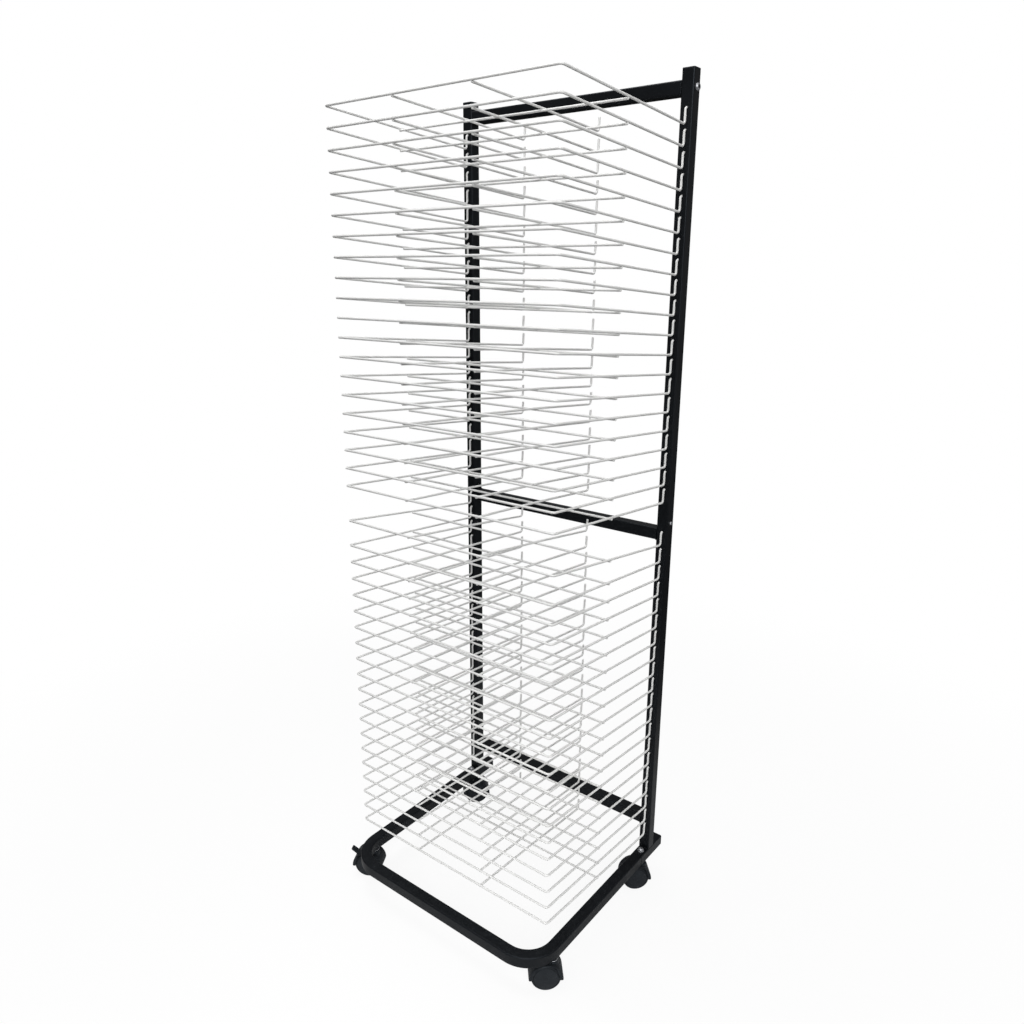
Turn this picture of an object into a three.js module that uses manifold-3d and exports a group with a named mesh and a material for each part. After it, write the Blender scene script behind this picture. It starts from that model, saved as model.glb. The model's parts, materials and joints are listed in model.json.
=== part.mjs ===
// Art drying rack: two uprights on a wheeled base carry two sets of hook-in wire trays.
// Millimetres. +X is to the right of someone facing the tray fronts, +Y to the back, +Z up.
// The origin is on the floor, midway between the uprights and midway along the base.
import * as THREE from 'three';
import { mergeVertices } from 'three/addons/utils/BufferGeometryUtils.js';
import Module from 'manifold-3d';

const wasm = await Module();
wasm.setup();

const seatGap = 0.3; // between pieces that touch
const rackWidth = 497; // over the outer faces of the uprights

// Uprights: square tube, closed on top, each welded on a short foot tube
const uprightSize = 23; // also of the feet and the base
const uprightWall = 1;
const tubeEdge = 2; // chamfer on the edges of every square tube
const endCap = 3; // plug in the top of an upright and in the rear of a foot
const footAhead = 27; // foot in front of the upright's front face
const footBehind = 36; // foot behind the upright's back face

// Crossbars between the uprights
const barSize = 23;
const barWall = 1;
const barPlug = 8; // threaded plug in each end of the top crossbar
const topBarDrop = 29; // centre of the bar below the top of the upright
const midBarDrop = 6; // centre of the bar below the first hook of the lower set
const bottomBarRise = 68.5; // centre of the bar above the foot

// Base: one tube bent to a U, its ends reduced to slide into the feet
const baseWall = 1;
const baseReach = 402; // from the uprights' front face to the front of the base
const baseBend = 61; // centreline radius of the two front corners
const basePastStem = 10; // end of the tube behind the rear caster's stem
const baseStep = 2; // thickness of the shoulder where the tube is reduced

// Bolts through the uprights into the top crossbar
const boltRadius = 3;
const boltHeadRadius = 6.5;
const boltHeadHeight = 4;
const boltGrip = 6; // length in the crossbar's plug

// Small bolts across the uprights, just above the middle crossbar
const smallBoltRadius = 2;
const smallBoltHeadRadius = 3.8;
const smallBoltHeadHeight = 2.4;
const smallBoltRise = 23; // above the centre of the middle crossbar

// Wire trays
const wireDiameter = 4;
const weldDepth = 0.8; // how far one wire sinks into another at a weld
const traysPerSet = 20;
const trayPitch = 34;
const topHookDrop = 59.5; // first hook below the top of the upright
const setSpacing = 83.5; // last hook of the upper set to first hook of the lower set
const lastHookRise = 61; // last hook above the foot
const hookReach = 5; // end of the hook behind the upright's front face
const trayLeg = 25.5; // from the hook down to the side wire
const legBend = 4;
const trayDepth = 355; // from the legs to the front wire, along the slope
const frontBend = 5;
const innerWireSpacing = 162;
const innerHeelAhead = 16; // turned-up end of an inner wire, from the legs along the slope
const innerEnd = 23; // its height
const crossWireAhead = 183; // from the legs to the cross wire, along the slope
const crossWireOverhang = 1; // past the centre of the side wires
const traySlope = THREE.MathUtils.degToRad(4.5);
const raisedSlope = THREE.MathUtils.degToRad(6.9); // first tray of the lower set stands higher

// Casters: twin wheels under a hood, on a stem that turns
const wheelRadius = 27.5; // to the flats, one of which is on the floor
const wheelSides = 14;
const wheelWidth = 15.5;
const wheelDome = 2.5; // swell of a wheel's outer face
const treadEdge = 2.5;
const axleRadius = 3;
const webWidth = 6; // middle wall of the housing, between the wheels
const hubRadius = 6.5; // of the web round the axle
const wheelPlay = 0.6; // between a wheel and the web
const casterTrail = 11; // axle behind the stem
const hoodRoom = 3; // between the tread and the hood
const hoodWall = 1.6;
const hoodOverhang = 1.4; // hood past the wheels' outer faces
const hoodDrop = 1; // rim of the hood below the axle
const neckHeight = 2.4; // from the hood's crown to the foot
const bossRadius = 9;
const stemRadius = 4;
const frontStemLength = 12; // above the base tube's underside
const rearStemAhead = 11.5; // rear stems ahead of the uprights' front face
const frontStemAngle = THREE.MathUtils.degToRad(7); // round the base's corner, from its side
const stemNutRadius = 7.5;
const stemNutHeight = 6.5;
const stemNutDome = 5;
const casterTurns = { front_left: 30, front_right: 41, rear_left: 225, rear_right: 42 }; // degrees

// Brake pedal on the front left caster
const pedalAngle = THREE.MathUtils.degToRad(140); // place of the pivot around the hood
const pedalTilt = THREE.MathUtils.degToRad(2); // tread below the line from the axle through the pivot
const pedalWidth = 14;
const pedalThickness = 3;
const pedalReach = 17; // outwards from the pivot
const pedalPivotRadius = 2.6;
const shoeLength = 8;
const shoeGap = 1.5; // between the shoe and the treads, brake off

// Worked out from the sizes above
const halfWidth = rackWidth / 2;
const frontFace = (baseReach - uprightSize - footBehind) / 2; // Y of the uprights' front face
const postY = frontFace + uprightSize / 2;
const postX = halfWidth - uprightSize / 2;
const hoodRadius = wheelRadius + hoodRoom + hoodWall;
const casterHeight = wheelRadius + hoodRadius + neckHeight; // floor to the underside of the feet
const footMiddle = casterHeight + uprightSize / 2;
const footTop = casterHeight + uprightSize;
const lowerTopHook = footTop + lastHookRise + (traysPerSet - 1) * trayPitch;
const upperTopHook = lowerTopHook + setSpacing + (traysPerSet - 1) * trayPitch;
const uprightTop = upperTopHook + topHookDrop;
const topBarHeight = uprightTop - topBarDrop;
const midBarHeight = lowerTopHook - midBarDrop;
const smallBoltHeight = midBarHeight + smallBoltRise;
const footFront = frontFace - footAhead;
const reducedSize = uprightSize - 2 * (uprightWall + seatGap); // of the base's ends
const wireSide = (wireDiameter * Math.sqrt(Math.PI)) / 2; // square of the round wire's area
const wheelInner = webWidth / 2 + wheelPlay;
const wheelOuter = wheelInner + wheelWidth;
const shoeThickness = hoodRoom - shoeGap - seatGap;
const hoodWidth = 2 * (wheelOuter + hoodOverhang);

const black = { color: 0x1c1f23, roughness: 0.45, metalness: 0.3 };
const white = { color: 0xe9e9e6, roughness: 0.4, metalness: 0.1 };
const zinc = { color: 0xb9bcbf, roughness: 0.3, metalness: 0.9 };
const housingGrey = { color: 0x24272b, roughness: 0.55, metalness: 0 };
const wheelGrey = { color: 0x2b2e33, roughness: 0.6, metalness: 0 };

function solid(geometry) {
  const bare = geometry.index ? geometry.toNonIndexed() : geometry.clone();
  bare.deleteAttribute('normal');
  bare.deleteAttribute('uv');
  const merged = mergeVertices(bare, 1e-4);
  const vertProperties = new Float32Array(merged.attributes.position.array);
  const triVerts = new Uint32Array(merged.index.array);
  return new wasm.Manifold(new wasm.Mesh({ numProp: 3, vertProperties, triVerts }));
}

function piece(name, shape, finish) {
  const { vertProperties, triVerts } = shape.getMesh();
  const geometry = new THREE.BufferGeometry();
  geometry.setAttribute('position', new THREE.BufferAttribute(new Float32Array(vertProperties), 3));
  geometry.setIndex(new THREE.BufferAttribute(new Uint32Array(triVerts), 1));
  geometry.computeVertexNormals();
  const mesh = new THREE.Mesh(geometry, new THREE.MeshStandardMaterial(finish));
  mesh.name = name;
  return mesh;
}

function joined(shapes) {
  return shapes.reduce((sum, next) => sum.add(next));
}

function outline(points, Kind = THREE.Shape) {
  return new Kind(points.map(([x, y]) => new THREE.Vector2(x, y)));
}

// A square with its corners cut, as the section of a tube
function tubeSection(size, corner, Kind) {
  const h = size / 2;
  const k = h - corner;
  return outline([[k, -h], [h, -k], [h, k], [k, h], [-k, h], [-h, k], [-h, -k], [-k, -h]], Kind);
}

// A straight square bar along Z, from z = 0
function squareBar(size, length) {
  const section = tubeSection(size, tubeEdge);
  return solid(new THREE.ExtrudeGeometry(section, { depth: length, bevelEnabled: false }));
}

function box(sizeX, sizeY, sizeZ, x, y, z) {
  return solid(new THREE.BoxGeometry(sizeX, sizeY, sizeZ).translate(x, y, z));
}

// A round bar with its middle at the origin, along the named axis
function roundBar(axis, radius, length, sides) {
  const bar = new THREE.CylinderGeometry(radius, radius, length, sides);
  if (axis === 'x') bar.rotateZ(Math.PI / 2);
  if (axis === 'z') bar.rotateX(Math.PI / 2);
  return solid(bar);
}

// A hole for a round bar, whose flats clear the bar by the seat gap
function clearHole(axis, radius, length) {
  const sides = 6;
  return roundBar(axis, (radius + seatGap) / Math.cos(Math.PI / sides), length, sides);
}

// A body turned about the Y axis from points [radius, y]
function turned(points, sides, start = 0) {
  const profile = points.map(([r, y]) => new THREE.Vector2(r, y));
  return solid(new THREE.LatheGeometry(profile, sides, start));
}

// A route with one step of the sweep for each of its points
class Route extends THREE.Curve {
  constructor(points) {
    super();
    this.points = points;
    this.last = points.length - 1;
  }

  getPointAt(u) {
    return this.points[Math.round(u * this.last)].clone();
  }

  getTangentAt(u) {
    const i = Math.round(u * this.last);
    const run = (from, to) => this.points[to].clone().sub(this.points[from]).normalize();
    const tangent = new THREE.Vector3();
    if (i > 0) tangent.add(run(i - 1, i));
    if (i < this.last) tangent.add(run(i, i + 1));
    return tangent.normalize();
  }
}

function swept(section, points) {
  const extrudePath = new Route(points);
  return solid(new THREE.ExtrudeGeometry(section, { steps: points.length - 1, extrudePath }));
}

// The two points that cut a corner at the same distance along both runs
function bend(before, corner, after, distance) {
  return [before, after].map((end) => end.clone().sub(corner).setLength(distance).add(corner));
}

// A wire with its flats square to the tray, or standing on edge
function wire(points, onEdge = false) {
  const flat = wireSide / 2;
  const edge = wireSide * Math.SQRT1_2;
  const square = [[flat, -flat], [flat, flat], [-flat, flat], [-flat, -flat]];
  const diamond = [[edge, 0], [0, edge], [-edge, 0], [0, -edge]];
  return swept(outline(onEdge ? diamond : square), points);
}

// A tray whose hooks lie on the X axis, with the uprights' front face at Y = 0
function tray(slope) {
  const standOff = -(wireDiameter / 2 + seatGap);
  const onSlope = (x, ahead, below = 0) => new THREE.Vector3(
    x,
    standOff - ahead * Math.cos(slope) - below * Math.sin(slope),
    -trayLeg + ahead * Math.sin(slope) - below * Math.cos(slope),
  );
  const side = (x) => {
    const hookEnd = new THREE.Vector3(x, hookReach, 0);
    const hook = new THREE.Vector3(x, standOff, 0);
    const heel = onSlope(x, 0);
    const front = onSlope(x, trayDepth);
    return [
      hookEnd,
      hook,
      ...bend(hook, heel, front, legBend),
      ...bend(heel, front, onSlope(0, trayDepth), frontBend),
    ];
  };
  const frame = wire([...side(-postX), ...side(postX).reverse()]);
  const inner = [-innerWireSpacing / 2, innerWireSpacing / 2].map((x) => wire([
    onSlope(x, innerHeelAhead, -innerEnd),
    onSlope(x, innerHeelAhead),
    onSlope(x, trayDepth - weldDepth),
  ]));
  const crossX = postX + crossWireOverhang;
  const crossBelow = wireSide / 2 + wireSide * Math.SQRT1_2 - weldDepth;
  const cross = wire([-crossX, crossX].map((x) => onSlope(x, crossWireAhead, crossBelow)), true);
  return joined([frame, ...inner, cross]);
}

// Heights of the hooks of one set, from its first
function hookHeights(first) {
  return Array.from({ length: traysPerSet }, (_, i) => first - i * trayPitch);
}

// An upright with its welded foot; side is -1 on the left and 1 on the right
function upright(side) {
  const x = side * postX;
  const bore = uprightSize - 2 * uprightWall;
  const footLength = footAhead + uprightSize + footBehind;
  const postFoot = footTop - uprightWall;
  const post = squareBar(uprightSize, uprightTop - postFoot).translate([x, postY, postFoot]);
  const postBore = squareBar(bore, uprightTop - endCap - footTop).translate([x, postY, footTop]);
  const alongY = (bar) => bar.rotate([-90, 0, 0]).translate([x, footFront, footMiddle]);
  const foot = alongY(squareBar(uprightSize, footLength));
  const footBore = alongY(squareBar(bore, footLength - endCap).translate([0, 0, -seatGap]));
  const stemY = frontFace - rearStemAhead;
  const nut = stemNut().translate([x, stemY, footTop]);
  const stemHole = clearHole('z', stemRadius, 2 * (uprightSize + stemNutHeight))
    .translate([x, stemY, casterHeight]);
  const boltHole = (radius, z) => clearHole('x', radius, 2 * uprightSize).translate([x, postY, z]);
  const boltHoles = [boltHole(boltRadius, topBarHeight), boltHole(smallBoltRadius, smallBoltHeight)];
  const holeSize = wireSide + 2 * seatGap;
  const hookHoles = [...hookHeights(upperTopHook), ...hookHeights(lowerTopHook)].map((z) => (
    box(holeSize, uprightSize, holeSize, x, frontFace, z)
  ));
  const cuts = [postBore, footBore, stemHole, ...boltHoles, ...hookHoles];
  return joined([post, foot, nut]).subtract(joined(cuts));
}

// Domed nut on top of a foot, over the end of the rear caster's stem
function stemNut() {
  const top = stemNutHeight + stemNutDome;
  const profile = [[0, 0], [stemNutRadius, 0], [stemNutRadius, stemNutHeight], [0, top]];
  return turned(profile, 6).rotate([90, 0, 0]);
}

// A crossbar between the uprights, welded or with plugs drilled for its bolts
function crossbar(height, bolted) {
  const length = rackWidth - 2 * (uprightSize + seatGap);
  const boreLength = bolted ? length - 2 * barPlug : length + 2 * barWall;
  const bore = squareBar(barSize - 2 * barWall, boreLength).translate([0, 0, (length - boreLength) / 2]);
  const drilled = clearHole('z', boltRadius, 2 * length).translate([0, 0, length / 2]);
  return squareBar(barSize, length)
    .subtract(bolted ? bore.add(drilled) : bore)
    .rotate([0, 90, 0])
    .translate([-length / 2, postY, height]);
}

// A bolt with its head on the outer face of an upright, and its shank reaching in by the given length
function bolt(side, height, reach, radius, headRadius, headHeight) {
  const top = seatGap + headHeight;
  const shoulder = headRadius - headHeight / 2;
  const profile = [
    [0, -reach], [radius, -reach], [radius, seatGap], [headRadius, seatGap], [shoulder, top], [0, top],
  ];
  return turned(profile, 6).rotate([0, 0, side * -90]).translate([side * halfWidth, postY, height]);
}

function topBolt(side) {
  const reach = uprightSize + seatGap + boltGrip;
  return bolt(side, topBarHeight, reach, boltRadius, boltHeadRadius, boltHeadHeight);
}

function smallBolt(side) {
  return bolt(side, smallBoltHeight, uprightSize, smallBoltRadius, smallBoltHeadRadius, smallBoltHeadHeight);
}

// A place on the base's centreline round a front corner, from the side (0) to the front (90 degrees)
function cornerPoint(side, angle) {
  const straight = baseReach - uprightSize / 2 - baseBend;
  return new THREE.Vector3(
    side * (postX - baseBend + baseBend * Math.cos(angle)),
    frontFace - straight - baseBend * Math.sin(angle),
    footMiddle,
  );
}

function rearStemPoint(side) {
  return new THREE.Vector3(side * postX, frontFace - rearStemAhead, footMiddle);
}

// A reduced end of the base tube, from its shoulder at the foot back past the rear caster's stem
function reducedEnd(side, shoulder) {
  const length = frontFace - rearStemAhead + basePastStem - shoulder;
  const alongY = (bar, ahead) => (
    bar.rotate([-90, 0, 0]).translate([side * postX, shoulder - ahead, footMiddle])
  );
  const ring = alongY(squareBar(uprightSize - baseWall, baseStep), baseStep);
  const sleeve = alongY(squareBar(reducedSize, baseStep + length), baseStep);
  const bore = alongY(squareBar(reducedSize - 2 * baseWall, 3 * baseStep + length), 2 * baseStep);
  return ring.add(sleeve).subtract(bore);
}

// The bent base tube, drilled for the four caster stems
function baseTube() {
  const steps = 5;
  const shoulder = footFront - seatGap;
  const half = (side) => {
    const points = [new THREE.Vector3(side * postX, shoulder, footMiddle)];
    for (let i = 0; i <= steps; i++) points.push(cornerPoint(side, (i / steps) * (Math.PI / 2)));
    return points;
  };
  const section = tubeSection(uprightSize, tubeEdge);
  section.holes.push(tubeSection(uprightSize - 2 * baseWall, tubeEdge, THREE.Path));
  const tube = swept(section, [...half(-1), ...half(1).reverse()]);
  const holes = [-1, 1].flatMap((side) => {
    const front = cornerPoint(side, frontStemAngle);
    const rear = rearStemPoint(side);
    const drill = clearHole('z', stemRadius, 2 * uprightSize);
    return [drill.translate([front.x, front.y, casterHeight - uprightSize / 2]), drill.translate(rear.toArray())];
  });
  const ends = [-1, 1].map((side) => reducedEnd(side, shoulder));
  return joined([tube, ...ends]).subtract(joined(holes));
}

// A caster's housing: its stem on the Z axis, its axle along Y behind the stem
function casterHousing(stemTop, braked) {
  const seat = casterHeight - seatGap;
  const dip = Math.asin(hoodDrop / hoodRadius);
  const bell = new THREE.Shape().absarc(0, 0, hoodRadius, -dip, Math.PI + dip, false);
  const onAxle = (shape) => shape.translate([-casterTrail, 0, wheelRadius]);
  const block = new THREE.ExtrudeGeometry(bell, { depth: hoodWidth, bevelEnabled: false, curveSegments: 7 })
    .rotateX(Math.PI / 2)
    .translate(0, hoodWidth / 2, 0);
  const room = roundBar('y', hoodRadius - hoodWall, hoodWidth, 20);
  const rooms = [-1, 1].map((side) => room.translate([0, side * (hoodWidth + webWidth) / 2, 0]));
  const hub = roundBar('y', hubRadius, webWidth, 10);
  const bore = clearHole('y', axleRadius, 2 * webWidth);
  const neck = wheelRadius + hoodRadius - hoodWall - bossRadius; // where the boss starts in the hood
  const boss = roundBar('z', bossRadius, seat - neck, 8).translate([0, 0, (seat + neck) / 2]);
  const stem = roundBar('z', stemRadius, stemTop - neck, 6).translate([0, 0, (stemTop + neck) / 2]);
  const housing = joined([onAxle(solid(block).add(hub)), boss, stem])
    .subtract(onAxle(joined([...rooms, bore])));
  return braked ? housing.subtract(onAxle(onHood(pedalRoom()))) : housing;
}

// Takes a shape drawn with the pedal's pivot at the origin, X outwards, to its place on the hood
function onHood(shape) {
  const pivotRadius = hoodRadius - hoodWall / 2;
  return shape.translate([pivotRadius, 0, 0]).rotate([0, THREE.MathUtils.radToDeg(-pedalAngle), 0]);
}

// The window in the hood that the pedal passes through, and the shoe's room behind it
function pedalRoom() {
  const width = pedalWidth + 2 * seatGap;
  const clear = pedalPivotRadius + seatGap;
  const depth = hoodWall / 2 + hoodRoom + pedalThickness;
  const length = clear + shoeLength + pedalThickness;
  const window = box(4 * clear, width, 2 * clear, 0, 0, 0);
  const shoeRoom = box(depth, width, length, -depth / 2 - hoodWall / 2, 0, length / 2 - clear);
  return window.add(shoeRoom);
}

// The pedal: a pivot barrel with a tread plate outside the hood and a brake shoe inside it
function brakePedal() {
  const shoeFace = wheelRadius + shoeGap - (hoodRadius - hoodWall / 2);
  const barrel = roundBar('y', pedalPivotRadius, pedalWidth, 8);
  const tread = box(pedalReach, pedalWidth, pedalThickness, pedalReach / 2, 0, 0)
    .rotate([0, THREE.MathUtils.radToDeg(-pedalTilt), 0]);
  const arm = box(-shoeFace, pedalWidth, pedalThickness, shoeFace / 2, 0, 0);
  const shoe = box(shoeThickness, pedalWidth, shoeLength, shoeFace + shoeThickness / 2, 0, shoeLength / 2);
  return onHood(joined([barrel, tread, arm, shoe])).translate([-casterTrail, 0, wheelRadius]);
}

// Two wheels on one axle along Y
function wheelPair() {
  const halfStep = Math.PI / wheelSides;
  const tread = wheelRadius / Math.cos(halfStep);
  const edge = wheelOuter - wheelDome;
  const half = [
    [axleRadius, wheelInner], [tread, wheelInner], [tread, edge - treadEdge], [tread - treadEdge, edge],
    [0, wheelOuter],
  ];
  const otherHalf = half.map(([r, y]) => [r, -y]).reverse();
  return turned([...otherHalf, ...half], wheelSides, halfStep).translate([-casterTrail, 0, wheelRadius]);
}

function trays() {
  const plain = tray(traySlope);
  const raised = tray(raisedSlope);
  const set = (label, firstHook) => hookHeights(firstHook).map((height, i) => {
    const shape = label === 'lower' && i === 0 ? raised : plain;
    const mesh = piece(`${label}_tray_${String(i + 1).padStart(2, '0')}`, shape, white);
    mesh.position.set(0, frontFace, height);
    return mesh;
  });
  return [...set('upper', upperTopHook), ...set('lower', lowerTopHook)];
}

function frame() {
  const pieces = [
    piece('top_crossbar', crossbar(topBarHeight, true), black),
    piece('middle_crossbar', crossbar(midBarHeight, false), black),
    piece('bottom_crossbar', crossbar(footTop + bottomBarRise, false), black),
    piece('base_tube', baseTube(), black),
  ];
  for (const [label, side] of [['left', -1], ['right', 1]]) {
    pieces.push(piece(`${label}_upright`, upright(side), black));
    pieces.push(piece(`${label}_top_bolt`, topBolt(side), zinc));
    pieces.push(piece(`${label}_middle_bolt`, smallBolt(side), zinc));
  }
  return pieces;
}

// A caster under one corner, turned as casters come to rest
function caster(end, label, side) {
  const name = `${end}_${label}`;
  const front = end === 'front';
  const place = front ? cornerPoint(side, frontStemAngle) : rearStemPoint(side);
  const stemTop = front ? casterHeight + frontStemLength : footTop + stemNutHeight / 2;
  const braked = name === 'front_left';
  const group = new THREE.Group();
  group.position.set(place.x, place.y, 0);
  group.rotation.z = THREE.MathUtils.degToRad(casterTurns[name]);
  group.add(piece(`${name}_caster_housing`, casterHousing(stemTop, braked), housingGrey));
  group.add(piece(`${name}_caster_wheels`, wheelPair(), wheelGrey));
  if (braked) group.add(piece(`${name}_brake_pedal`, brakePedal(), housingGrey));
  return group;
}

const rack = new THREE.Group();
rack.add(...trays(), ...frame());
for (const end of ['front', 'rear']) rack.add(caster(end, 'left', -1), caster(end, 'right', 1));

export default rack;
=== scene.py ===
import json
import math

import bmesh
import bpy
from mathutils import Matrix, Vector


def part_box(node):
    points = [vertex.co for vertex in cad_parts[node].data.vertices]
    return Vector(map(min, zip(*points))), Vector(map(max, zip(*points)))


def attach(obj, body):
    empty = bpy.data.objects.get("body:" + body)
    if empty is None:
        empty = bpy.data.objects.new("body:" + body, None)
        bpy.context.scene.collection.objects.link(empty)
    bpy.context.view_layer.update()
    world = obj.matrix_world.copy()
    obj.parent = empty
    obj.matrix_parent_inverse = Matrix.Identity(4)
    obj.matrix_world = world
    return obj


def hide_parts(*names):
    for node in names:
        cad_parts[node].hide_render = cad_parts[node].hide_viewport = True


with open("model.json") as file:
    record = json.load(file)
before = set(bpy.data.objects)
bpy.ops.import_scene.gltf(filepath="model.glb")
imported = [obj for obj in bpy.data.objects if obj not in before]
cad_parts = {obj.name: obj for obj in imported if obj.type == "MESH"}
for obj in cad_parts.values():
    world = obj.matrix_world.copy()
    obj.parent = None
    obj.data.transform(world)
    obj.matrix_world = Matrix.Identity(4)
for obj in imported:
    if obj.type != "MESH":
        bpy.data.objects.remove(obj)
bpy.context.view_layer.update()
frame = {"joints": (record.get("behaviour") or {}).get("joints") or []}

joints = {joint["name"]: joint for joint in frame["joints"]}
mm = 0.001  # shapes are drawn in millimetres
alongX, alongY, alongZ = Vector((1, 0, 0)), Vector((0, 1, 0)), Vector((0, 0, 1))


class Signal:  # a socket that can be used in sums
    def __init__(self, tree, socket):
        self.tree, self.socket = tree, socket

    def math(self, operation, first, second):
        return self.tree.add("ShaderNodeMath", {"operation": operation}, {0: first, 1: second})

    def __add__(self, other):
        return self.math("ADD", self, other)

    def __rsub__(self, other):
        return self.math("SUBTRACT", other, self)

    def __mul__(self, other):
        return self.math("MULTIPLY", self, other)

    __radd__ = __add__
    __rmul__ = __mul__

    def step(self, low, high):  # 0 below low, 1 above high, smooth between
        sockets = {"Value": self, "From Min": low, "From Max": high}
        return self.tree.add("ShaderNodeMapRange", {"interpolation_type": "SMOOTHSTEP"}, sockets)


class Nodes:  # a node tree and the one way to add to it
    def __init__(self, tree):
        self.tree = tree

    def add(self, kind, settings=None, sockets=None, out=0):
        node = self.tree.nodes.new(kind)
        for key, value in (settings or {}).items():
            setattr(node, key, value)
        for key, value in (sockets or {}).items():
            self.put(node.inputs[key], value)
        return Signal(self, node.outputs[out])

    def put(self, socket, value):
        if isinstance(value, Signal):
            self.tree.links.new(value.socket, socket)
        else:
            socket.default_value = value

    def blend(self, first, second, factor):  # colours
        return self.add("ShaderNodeMix", {"data_type": "RGBA"}, {0: factor, 6: first, 7: second}, out=2)

    def noise(self, scale, detail, stretch=None):
        where = self.add("ShaderNodeTexCoord", out="Object")
        if stretch:
            where = self.add("ShaderNodeVectorMath", {"operation": "MULTIPLY"}, {0: where, 1: stretch})
        return self.add("ShaderNodeTexNoise", {}, {"Vector": where, "Scale": scale, "Detail": detail})

    def cloud(self, scale, low=0.30, high=0.70):  # soft patches
        return self.noise(scale, 3.0).step(low, high)


class Finish(Nodes):  # a material
    def __init__(self, name, fixed):
        self.material = bpy.data.materials.new(name)
        self.material.use_nodes = True
        super().__init__(self.material.node_tree)
        self.shader = self.tree.nodes["Principled BSDF"]
        self.feed(fixed)

    def feed(self, sockets):
        for key, value in sockets.items():
            self.put(self.shader.inputs[key], value)

    def bump(self, height, strength, distance):
        sockets = {"Height": height, "Strength": strength, "Distance": distance}
        self.feed({"Normal": self.add("ShaderNodeBump", {}, sockets)})


coolShine = (0.80, 0.89, 1.0, 1)  # tint of the light that dark finishes throw back
powderCoat = {
    "deep": (0.0011, 0.0013, 0.0017, 1),
    "pale": (0.0025, 0.0030, 0.0039, 1),
    "dust": (0.020, 0.021, 0.023, 1),
    "shine": 0.26,
    "roughness": 0.40,
    "cloudScale": 7.0,
    "cloudRange": (0.32, 0.68),
    "grainScale": 2600.0,
    "peelScale": 950.0,
    "dustScale": 60.0,
    "dustRange": (0.45, 0.75),
    "dustFacing": (0.75, 0.98),  # how far up a face looks where dust lies
    "dustShare": 0.20,
    "bump": 0.20,
    "bumpDepth": 0.00025,
}


def makePowderBlack():
    coat = powderCoat
    finish = Finish("powder_black", {"Specular IOR Level": coat["shine"], "Specular Tint": coolShine})
    cloud = finish.cloud(coat["cloudScale"], *coat["cloudRange"])
    grain = finish.noise(coat["grainScale"], 1.0)
    peel = finish.noise(coat["peelScale"], 2.0)
    facing = finish.add("ShaderNodeNewGeometry", out="Normal")
    up = finish.add("ShaderNodeSeparateXYZ", {}, {0: facing}, out=2)
    patches = finish.noise(coat["dustScale"], 4.0).step(*coat["dustRange"])
    dust = up.step(*coat["dustFacing"]) * patches * coat["dustShare"]
    colour = finish.blend(coat["deep"], coat["pale"], cloud * 0.7 + grain * 0.3)
    finish.feed({
        "Base Color": finish.blend(colour, coat["dust"], dust),
        "Roughness": coat["roughness"] + cloud * 0.10 + grain * 0.06 + dust * 0.5,
    })
    finish.bump(peel + grain * 0.3, coat["bump"], coat["bumpDepth"])
    return finish.material


wireCoat = {
    "shade": (0.71, 0.71, 0.70, 1),
    "bright": (0.82, 0.82, 0.81, 1),
    "shine": 0.45,
    "roughness": 0.36,
    "cloudScale": 14.0,
    "lumpScale": 420.0,
    "bump": 0.04,
    "bumpDepth": 0.0004,
}


def makeWireWhite():
    coat = wireCoat
    finish = Finish("wire_white", {"Specular IOR Level": coat["shine"]})
    cloud = finish.cloud(coat["cloudScale"])
    lump = finish.noise(coat["lumpScale"], 3.0)
    finish.feed({
        "Base Color": finish.blend(coat["shade"], coat["bright"], cloud * 0.6 + lump * 0.4),
        "Roughness": coat["roughness"] + lump * 0.14 + cloud * 0.05,
    })
    finish.bump(lump, coat["bump"], coat["bumpDepth"])
    return finish.material


zincPlate = {
    "dull": (0.36, 0.37, 0.39, 1),
    "bright": (0.58, 0.59, 0.61, 1),
    "roughness": 0.36,
    "cloudScale": 260.0,
    "scratchScale": 1500.0,
    "scratchStretch": (1.0, 1.0, 0.12),
    "bump": 0.10,
    "bumpDepth": 0.0001,
}


def makeZinc():
    plate = zincPlate
    finish = Finish("bright_zinc", {"Metallic": 1.0})
    cloud = finish.cloud(plate["cloudScale"])
    scratch = finish.noise(plate["scratchScale"], 2.0, plate["scratchStretch"])
    finish.feed({
        "Base Color": finish.blend(plate["dull"], plate["bright"], cloud * 0.6 + scratch * 0.4),
        "Roughness": plate["roughness"] + cloud * 0.12 + scratch * 0.10,
    })
    finish.bump(scratch, plate["bump"], plate["bumpDepth"])
    return finish.material


hoodPlastic = {
    "deep": (0.0044, 0.0054, 0.0068, 1),
    "pale": (0.0080, 0.0096, 0.0118, 1),
    "shine": 0.35,
    "roughness": 0.46,
    "cloudScale": 40.0,
    "grainScale": 1700.0,
    "bump": 0.22,
    "bumpDepth": 0.0002,
}


def makeHoodGrey():
    plastic = hoodPlastic
    finish = Finish("hood_grey", {"Specular IOR Level": plastic["shine"], "Specular Tint": coolShine})
    cloud = finish.cloud(plastic["cloudScale"])
    grain = finish.noise(plastic["grainScale"], 2.0)
    finish.feed({
        "Base Color": finish.blend(plastic["deep"], plastic["pale"], cloud * 0.5 + grain * 0.5),
        "Roughness": plastic["roughness"] + grain * 0.14 + cloud * 0.06,
    })
    finish.bump(grain, plastic["bump"], plastic["bumpDepth"])
    return finish.material


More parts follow.
